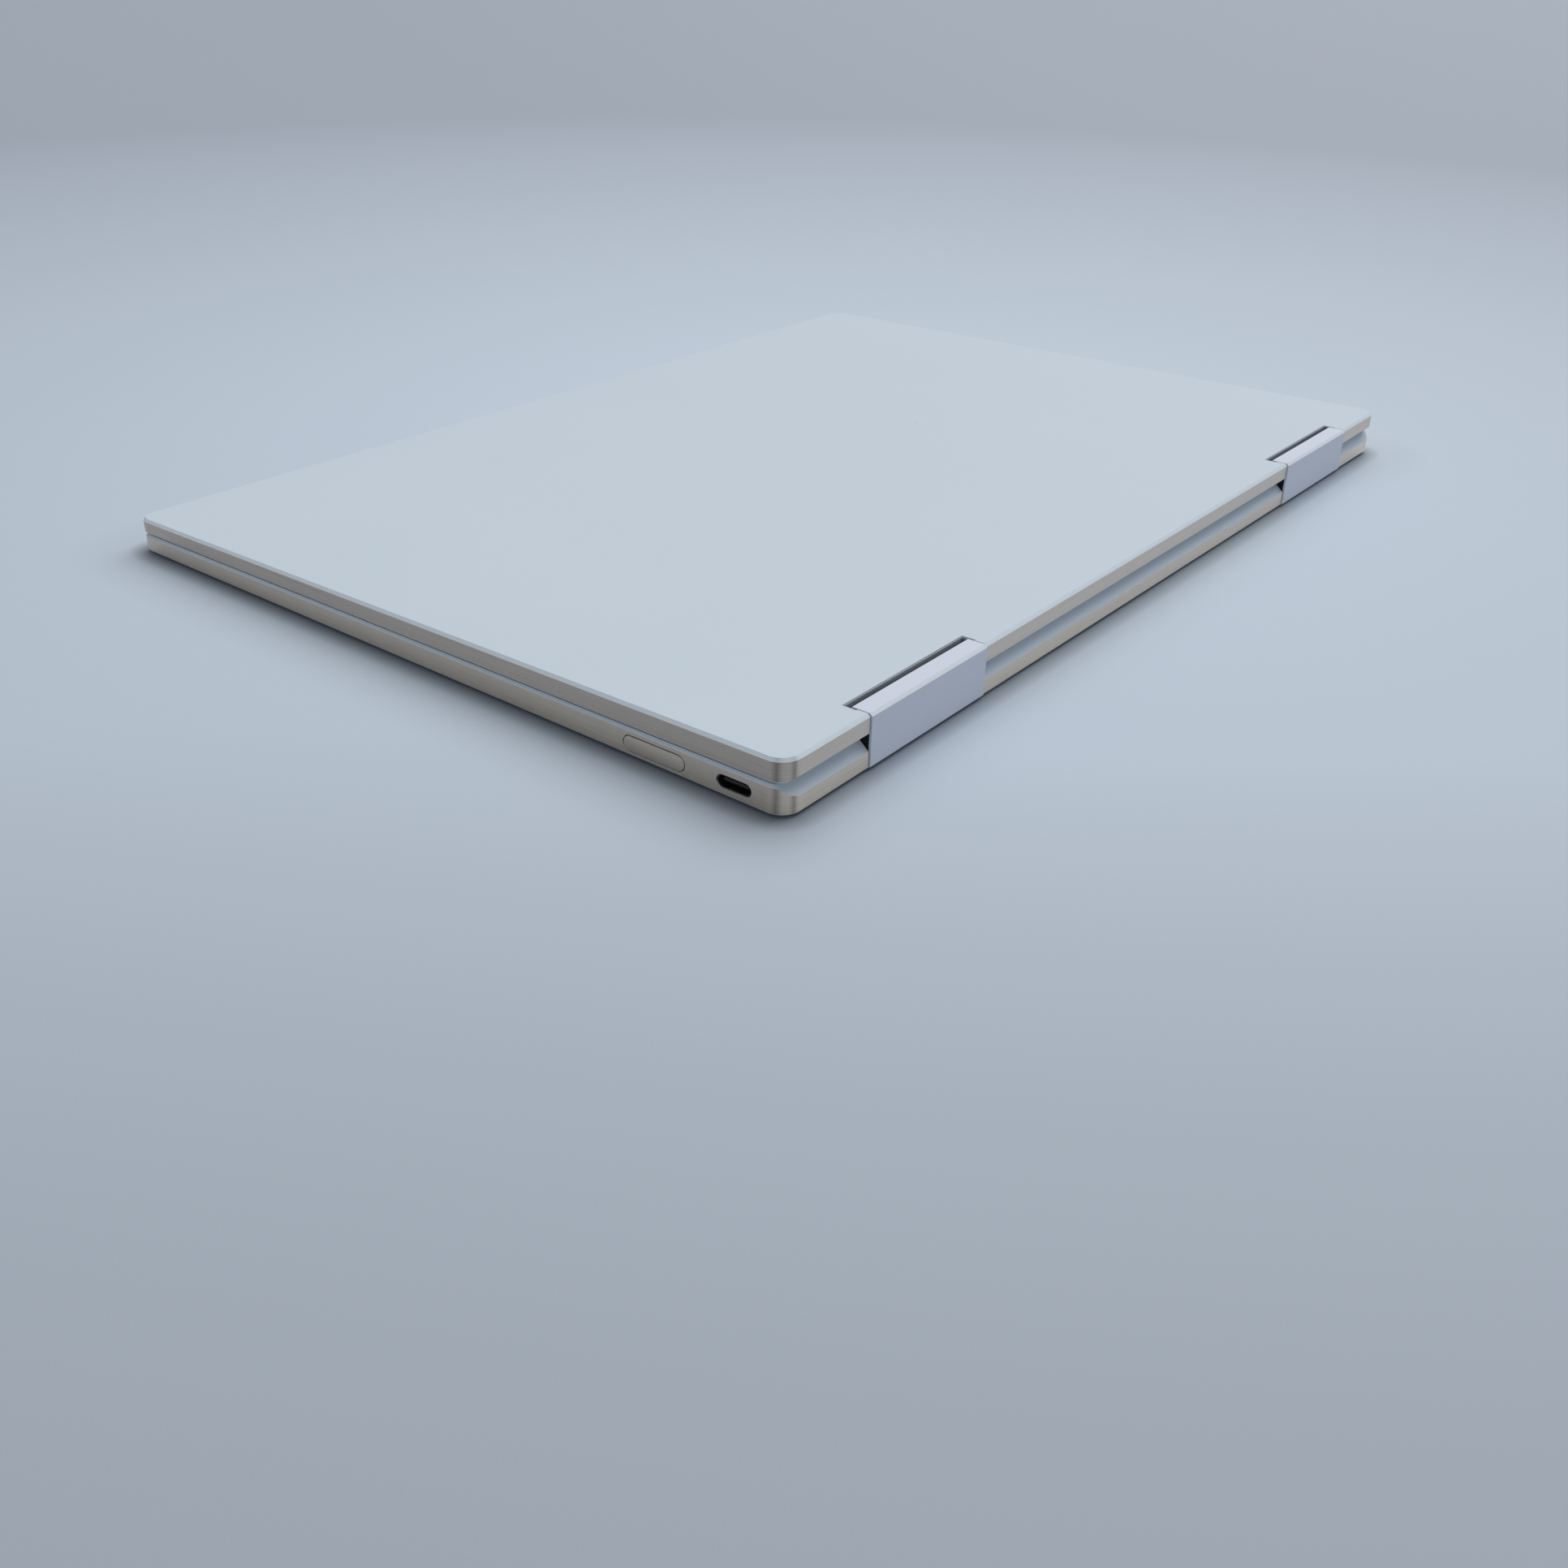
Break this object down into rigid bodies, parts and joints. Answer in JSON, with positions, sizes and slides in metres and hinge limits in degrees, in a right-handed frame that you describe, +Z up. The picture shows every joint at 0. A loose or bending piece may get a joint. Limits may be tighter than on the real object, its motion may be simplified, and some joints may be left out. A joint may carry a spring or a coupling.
{
  "type": "convertible laptop computer",
  "caption": "Thin wedge-shaped convertible laptop, closed, with full-turn dual-axis hinge blocks, keyboard, touchpad, display and working insides.",
  "frame": {"origin": "centre of the base and lid in plan, on the plane of the rubber feet", "axes": "+X to the user's right, +Y to the rear hinge edge, +Z up"},
  "size_m": [0.2972, 0.2092, 0.0127],
  "materials": {
    "painted_shell": "satin white paint with champagne machined edges",
    "painted_block": "satin white paint",
    "liner_plastic": "fine spark-eroded texture",
    "keycap_plastic": "soft matt",
    "touch_glass": "fine etched glass",
    "champagne_metal": "brushed champagne anodised",
    "panel_foil": "thin metal foil",
    "bare_steel": "rolled",
    "bright_metal": "bright nickel",
    "copper_metal": "plain copper",
    "circuit_board": "solder mask",
    "chip_plastic": "moulded",
    "cell_foil": "wrapped foil",
    "black_plastic": "fine texture",
    "foot_rubber": "matt",
    "gasket_rubber": "matt",
    "dome_silicone": "translucent silicone",
    "screen_glass": "black-backed polished glass",
    "lens_glass": "coated lens"
  },
  "bodies": {
    "base": {"top_case": "painted_shell", "bottom_cover": "painted_block", "bottom_screws": "bright_metal", "rubber_feet": "foot_rubber", "keyboard_plate": "bare_steel", "dome_sheet": "dome_silicone", "touchpad_bracket": "bare_steel", "mainboard": "circuit_board", "processor": "chip_plastic", "memory_chips": "chip_plastic", "heat_pipe": "copper_metal", "heat_sink_fins": "bright_metal", "fan_housing": "black_plastic", "ssd_module": "circuit_board", "wifi_card": "circuit_board", "io_board": "circuit_board", "battery_cells": "cell_foil", "battery_frame": "black_plastic", "speaker_right": "black_plastic", "speaker_left": "black_plastic", "usb_socket_right": "bright_metal", "usb_socket_left": "bright_metal", "audio_socket": "black_plastic", "power_switch": "black_plastic", "base_hinge_brackets": "bare_steel", "base_hinge_shafts": "bright_metal", "base_hinge_washers": "bare_steel", "base_hinge_liners": "liner_plastic", "base_magnets": "bright_metal", "inner_screws": "bright_metal"},
    "right_hinge_link": {"hinge_cover_right": "painted_block", "hinge_core_right": "bare_steel"},
    "left_hinge_link": {"hinge_cover_left": "painted_block", "hinge_core_left": "bare_steel"},
    "lid": {"lid_cover": "painted_shell", "lid_hinge_brackets": "bare_steel", "lid_hinge_shafts": "bright_metal", "lid_hinge_washers": "bare_steel", "lid_hinge_liners": "liner_plastic", "lid_screws": "bright_metal", "lid_magnets": "bright_metal", "display_glass": "screen_glass", "display_panel": "panel_foil", "display_gasket": "gasket_rubber", "display_board": "circuit_board", "camera_module": "black_plastic", "camera_lens": "lens_glass"},
    "keys_function_row": {"keys_function_row": "keycap_plastic"},
    "keys_number_row": {"keys_number_row": "keycap_plastic"},
    "keys_upper_row": {"keys_upper_row": "keycap_plastic"},
    "keys_home_row": {"keys_home_row": "keycap_plastic"},
    "keys_lower_row": {"keys_lower_row": "keycap_plastic"},
    "keys_bottom_row": {"keys_bottom_row": "keycap_plastic"},
    "space_bar": {"space_bar": "keycap_plastic"},
    "enter_key": {"enter_key": "keycap_plastic"},
    "touchpad": {"touchpad": "touch_glass"},
    "power_button": {"power_button": "champagne_metal"},
    "fan_impeller": {"fan_impeller": "black_plastic"}
  },
  "joints": [
    {"name": "right_link_hinge", "type": "hinge", "parent": "base", "child": "right_hinge_link", "pos_m": [0, 0.10217, 0.00358], "axis": [-1, 0, 0], "range_deg": [0, 180]},
    {"name": "lid_hinge", "type": "hinge", "parent": "right_hinge_link", "child": "lid", "pos_m": [0, 0.1021, 0.01038], "axis": [-1, 0, 0], "range_deg": [0, 180]},
    {"name": "left_link_hinge", "type": "hinge", "parent": "base", "child": "left_hinge_link", "pos_m": [0, 0.10217, 0.00358], "axis": [-1, 0, 0], "range_deg": [0, 180]},
    {"name": "keys_function_row_press", "type": "slide", "parent": "base", "child": "keys_function_row", "axis": [0, 0.0108, -0.9999], "range_m": [0, 0.0009], "stiffness_N_per_m": 600, "springref_m": -0.0006},
    {"name": "keys_number_row_press", "type": "slide", "parent": "base", "child": "keys_number_row", "axis": [0, 0.0108, -0.9999], "range_m": [0, 0.0009], "stiffness_N_per_m": 600, "springref_m": -0.0006},
    {"name": "keys_upper_row_press", "type": "slide", "parent": "base", "child": "keys_upper_row", "axis": [0, 0.0108, -0.9999], "range_m": [0, 0.0009], "stiffness_N_per_m": 600, "springref_m": -0.0006},
    {"name": "keys_home_row_press", "type": "slide", "parent": "base", "child": "keys_home_row", "axis": [0, 0.0108, -0.9999], "range_m": [0, 0.0009], "stiffness_N_per_m": 600, "springref_m": -0.0006},
    {"name": "keys_lower_row_press", "type": "slide", "parent": "base", "child": "keys_lower_row", "axis": [0, 0.0108, -0.9999], "range_m": [0, 0.0009], "stiffness_N_per_m": 600, "springref_m": -0.0006},
    {"name": "keys_bottom_row_press", "type": "slide", "parent": "base", "child": "keys_bottom_row", "axis": [0, 0.0108, -0.9999], "range_m": [0, 0.0009], "stiffness_N_per_m": 600, "springref_m": -0.0006},
    {"name": "space_bar_press", "type": "slide", "parent": "base", "child": "space_bar", "axis": [0, 0.0108, -0.9999], "range_m": [0, 0.0009], "stiffness_N_per_m": 300, "springref_m": -0.0006},
    {"name": "enter_key_press", "type": "slide", "parent": "base", "child": "enter_key", "axis": [0, 0.0108, -0.9999], "range_m": [0, 0.0009], "stiffness_N_per_m": 300, "springref_m": -0.0006},
    {"name": "touchpad_click", "type": "hinge", "parent": "base", "child": "touchpad", "pos_m": [0, -0.03195, 0.00503], "axis": [1, 0, 0], "range_deg": [0, 0.3], "stiffness_Nm_per_rad": 2, "springref_deg": -0.69},
    {"name": "power_button_press", "type": "slide", "parent": "base", "child": "power_button", "axis": [-1, 0, 0], "range_m": [0, 0.0003], "stiffness_N_per_m": 800, "springref_m": -0.0004},
    {"name": "fan_spin", "type": "hinge", "parent": "base", "child": "fan_impeller", "pos_m": [-0.1007, 0.05897, 0.00301], "axis": [0, -0.0108, 0.9999], "continuous": true}
  ],
  "couplings": [
    {"joint": "left_link_hinge", "follows": "right_link_hinge", "ratio": 1}
  ]
}
